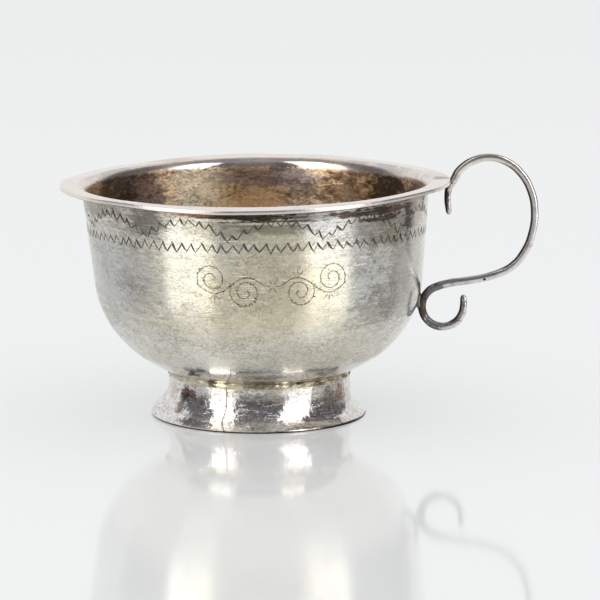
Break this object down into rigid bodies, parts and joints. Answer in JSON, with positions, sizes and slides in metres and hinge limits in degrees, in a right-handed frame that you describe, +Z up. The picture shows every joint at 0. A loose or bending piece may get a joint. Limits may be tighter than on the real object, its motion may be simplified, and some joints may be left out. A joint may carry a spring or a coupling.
{
  "type": "dram cup",
  "caption": "Small raised silver cup with a flat everted lip, a spool foot ring and one S-scroll wire handle, for serving a dram of spirits.",
  "frame": {"origin": "on the table, at the middle of the cup's box seen from above", "axes": "+Z up from the table, +X from the cup towards its handle, +Y away from the viewer of the engraved front"},
  "size_m": [0.0736, 0.06, 0.0404],
  "materials": {
    "bowl_silver": "old silver, planished, worn satin with warm tarnish",
    "foot_silver": "old silver, brighter polish with brown tarnish patches",
    "wire_silver": "drawn silver wire, worn bright along its outside",
    "joint_solder": "matt yellowish silver solder",
    "seam_solder": "brown tarnished silver solder",
    "handle_solder": "dark tarnished silver solder"
  },
  "bodies": {
    "root": {"bowl": "bowl_silver", "foot_strip": "foot_silver", "foot_seam_solder": "seam_solder", "foot_joint_solder": "joint_solder", "handle_wire": "wire_silver", "rim_solder": "handle_solder", "wall_solder": "handle_solder"}
  },
  "joints": []
}
